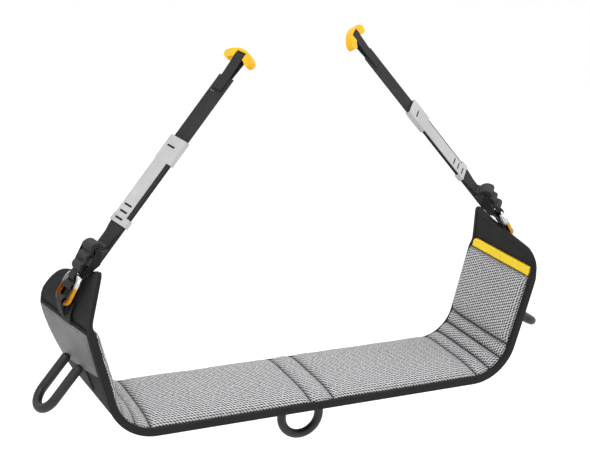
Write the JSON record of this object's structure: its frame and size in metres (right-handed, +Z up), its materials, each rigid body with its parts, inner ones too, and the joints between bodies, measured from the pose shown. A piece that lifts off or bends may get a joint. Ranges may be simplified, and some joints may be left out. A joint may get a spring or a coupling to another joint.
{
  "type": "bosuns chair",
  "caption": "Padded hanging work seat with raised padded wings, adjustable webbing straps on steel rings, crescent end toggles and tube loops for equipment",
  "frame": {"origin": "middle of the seat, at the level of its seams", "axes": "X along the seat from the left wing to the right wing, Y from the front edge to the rear edge, Z up"},
  "size_m": [0.6904, 0.1489, 0.5158],
  "materials": {
    "board": "stiff sheet, sealed inside the cover",
    "cover_cloth": "plain woven black cloth",
    "webbing": "black polyester webbing with sewn edges",
    "pad_mesh": "grey spacer mesh over foam, dark holes in slanting rows",
    "band_cloth": "yellow woven tape",
    "patch_cloth": "smooth mid grey coated cloth",
    "ring_metal": "yellow passivated steel rod",
    "buckle_metal": "black coated",
    "keeper_vinyl": "pale grey smooth sheet",
    "toggle_plastic": "moulded orange yellow",
    "loop_tube": "smooth black tube over cord"
  },
  "bodies": {
    "seat": {"frame_board": "board", "outer_cover": "cover_cloth", "edge_binding": "webbing", "seat_pad_left": "pad_mesh", "seat_pad_right": "pad_mesh", "centre_roll": "pad_mesh", "bend_rolls_left": "pad_mesh", "bend_rolls_right": "pad_mesh", "side_pad_left": "pad_mesh", "side_pad_right": "pad_mesh", "band_left": "band_cloth", "band_right": "band_cloth", "flap_left": "cover_cloth", "flap_right": "cover_cloth", "patch_left": "patch_cloth", "patch_right": "patch_cloth", "anchor_tab_left": "webbing", "anchor_tab_right": "webbing", "anchor_loop_left": "webbing", "anchor_loop_right": "webbing", "loop_tab_left": "webbing", "loop_tab_right": "webbing", "loop_tab_centre": "webbing"},
    "left_ring": {"ring_left": "ring_metal"},
    "left_buckle": {"link_left": "webbing", "buckle_left": "buckle_metal", "strap_lower_left": "webbing"},
    "left_strap": {"strap_left": "webbing", "strap_tail_left": "webbing", "keeper_left": "keeper_vinyl", "toggle_loop_left": "webbing"},
    "left_toggle": {"toggle_left": "toggle_plastic"},
    "left_loop": {"gear_loop_left": "loop_tube"},
    "right_ring": {"ring_right": "ring_metal"},
    "right_buckle": {"link_right": "webbing", "buckle_right": "buckle_metal", "strap_lower_right": "webbing"},
    "right_strap": {"strap_right": "webbing", "strap_tail_right": "webbing", "keeper_right": "keeper_vinyl", "toggle_loop_right": "webbing"},
    "right_toggle": {"toggle_right": "toggle_plastic"},
    "right_loop": {"gear_loop_right": "loop_tube"},
    "centre_loop": {"gear_loop_centre": "loop_tube"}
  },
  "joints": [
    {"name": "left_ring_swing", "type": "hinge", "parent": "seat", "child": "left_ring", "pos_m": [-0.31083, -0.02356, 0.1541], "axis": [0.1564, -0.9877, 0], "range_deg": [0, 70]},
    {"name": "left_strap_swing", "type": "hinge", "parent": "left_ring", "child": "left_buckle", "pos_m": [-0.29507, -0.02106, 0.18067], "axis": [0.1564, -0.9877, 0], "range_deg": [0, 75]},
    {"name": "left_strap_adjust", "type": "slide", "parent": "left_buckle", "child": "left_strap", "axis": [0.6454, 0.1022, 0.757], "range_m": [-0.012, 0.06], "deforming": ["strap_lower_left"]},
    {"name": "left_toggle_turn", "type": "hinge", "parent": "left_strap", "child": "left_toggle", "pos_m": [-0.08762, 0.01206, 0.41414], "axis": [0.3206, -0.9357, -0.147], "range_deg": [-50, 50]},
    {"name": "left_loop_flex", "type": "hinge", "parent": "seat", "child": "left_loop", "pos_m": [-0.29605, -0.0017, 0.06612], "axis": [-0.109, 0.994, 0], "range_deg": [-20, 35], "stiffness_Nm_per_rad": 0.15},
    {"name": "right_ring_swing", "type": "hinge", "parent": "seat", "child": "right_ring", "pos_m": [0.30133, 0.01141, 0.16532], "axis": [0.1942, 0.981, 0], "range_deg": [0, 70]},
    {"name": "right_strap_swing", "type": "hinge", "parent": "right_ring", "child": "right_buckle", "pos_m": [0.28567, 0.01451, 0.19189], "axis": [0.1942, 0.981, 0], "range_deg": [0, 75]},
    {"name": "right_strap_adjust", "type": "slide", "parent": "right_buckle", "child": "right_strap", "axis": [-0.6423, 0.1272, 0.7559], "range_m": [-0.012, 0.06], "deforming": ["strap_lower_right"]},
    {"name": "right_toggle_turn", "type": "hinge", "parent": "right_strap", "child": "right_toggle", "pos_m": [0.0795, 0.05605, 0.42513], "axis": [0.6095, 0.6826, 0.4031], "range_deg": [-50, 50]},
    {"name": "right_loop_flex", "type": "hinge", "parent": "seat", "child": "right_loop", "pos_m": [0.28705, 0.0003, 0.06793], "axis": [0.0187, -0.9998, 0], "range_deg": [-20, 35], "stiffness_Nm_per_rad": 0.15},
    {"name": "centre_loop_flex", "type": "hinge", "parent": "seat", "child": "centre_loop", "pos_m": [0, -0.005, -0.01665], "axis": [1, 0, 0], "range_deg": [-35, 35], "stiffness_Nm_per_rad": 0.15}
  ]
}
